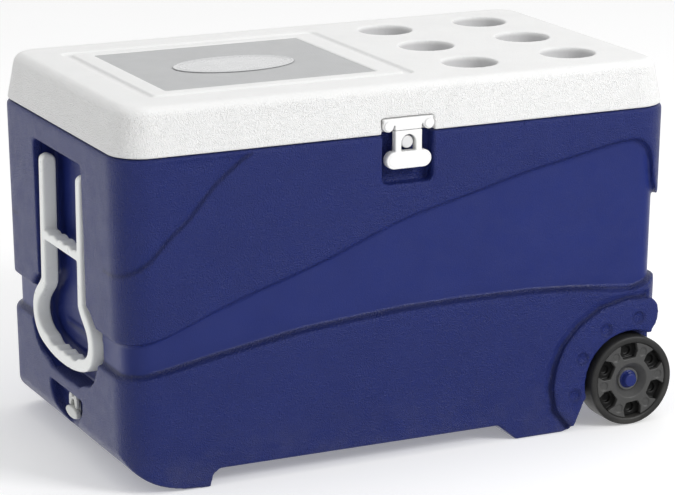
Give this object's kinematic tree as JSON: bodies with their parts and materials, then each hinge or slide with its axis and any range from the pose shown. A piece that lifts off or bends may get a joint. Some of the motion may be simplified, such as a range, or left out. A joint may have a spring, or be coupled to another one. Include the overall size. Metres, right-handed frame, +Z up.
{
  "type": "wheeled cooler",
  "caption": "Hard cooler on wheels with a hinged lid, rubber strap latch, swing-out tow handle, cup holders moulded in the lid and a drain plug.",
  "frame": {"origin": "centre of the bounding box at floor level", "axes": "+Z up, front with the latch toward -Y, wheels toward +X, tow handle toward -X"},
  "size_m": [0.7598, 0.4506, 0.4771],
  "materials": {
    "blue_shell": "fine moulded grain, satin",
    "white_shell": "pebbled moulded grain",
    "white_liner": "smooth, semi gloss",
    "foam": "rigid polyurethane foam",
    "steel": "zinc plated",
    "white_rubber": "smooth elastomer",
    "light_plastic": "smooth",
    "soft_light": "smooth elastomer",
    "black_plastic": "moulded, satin",
    "bush_plastic": "smooth",
    "grey_pad": "diamond knurl",
    "badge_grey": "smooth",
    "handle_grey": "smooth satin"
  },
  "bodies": {
    "root": {"body_shell": "blue_shell", "inner_liner": "white_liner", "insulation": "foam", "handle_pins": "steel", "latch_peg": "white_rubber", "drain_anchor": "light_plastic", "drain_spout": "light_plastic", "drain_tether": "soft_light", "axle_stub_front": "blue_shell", "axle_stub_rear": "blue_shell", "thrust_washer_front": "black_plastic", "thrust_washer_rear": "black_plastic", "retainer_front": "steel", "retainer_rear": "steel", "screws_body": "steel", "hinge_pins": "steel", "hinge_body_leaf_left": "white_shell", "hinge_body_leaf_right": "white_shell"},
    "lid": {"lid_shell": "white_shell", "lid_foam": "foam", "lid_inner_panel": "white_liner", "lid_pad": "grey_pad", "lid_badge": "badge_grey", "latch_bar": "white_rubber", "latch_plugs": "white_rubber", "screws_lid": "steel", "hinge_lid_leaf_left": "white_shell", "hinge_lid_leaf_right": "white_shell"},
    "latch": {"latch_strap": "white_rubber"},
    "handle": {"tow_handle": "handle_grey"},
    "drain": {"drain_plug": "soft_light"},
    "wheel_front": {"wheel_tyre_front": "black_plastic", "wheel_disc_front": "black_plastic", "wheel_bush_front": "bush_plastic"},
    "wheel_rear": {"wheel_tyre_rear": "black_plastic", "wheel_disc_rear": "black_plastic", "wheel_bush_rear": "bush_plastic"}
  },
  "joints": [
    {"name": "lid_hinge", "type": "hinge", "parent": "root", "child": "lid", "pos_m": [-0.00197, 0.2197, 0.417], "axis": [-1, 0, 0], "range_deg": [0, 100], "deforming": ["latch_strap"]},
    {"name": "latch_bend", "type": "hinge", "parent": "lid", "child": "latch", "pos_m": [-0.00197, -0.2233, 0.421], "axis": [-1, 0, 0], "range_deg": [0, 110], "stiffness_Nm_per_rad": 0.01, "deforming": ["latch_strap"]},
    {"name": "handle_swing", "type": "hinge", "parent": "root", "child": "handle", "pos_m": [-0.36747, -0.0063, 0.36], "axis": [0, 1, 0], "range_deg": [0, 125]},
    {"name": "drain_pull", "type": "slide", "parent": "root", "child": "drain", "axis": [-1, 0, 0], "range_m": [0, 0.025], "deforming": ["drain_tether"]},
    {"name": "wheel_front_spin", "type": "hinge", "parent": "root", "child": "wheel_front", "pos_m": [0.32063, -0.2063, 0.05925], "axis": [0, 1, 0], "continuous": true},
    {"name": "wheel_rear_spin", "type": "hinge", "parent": "root", "child": "wheel_rear", "pos_m": [0.32063, 0.1937, 0.05925], "axis": [0, 1, 0], "continuous": true}
  ]
}
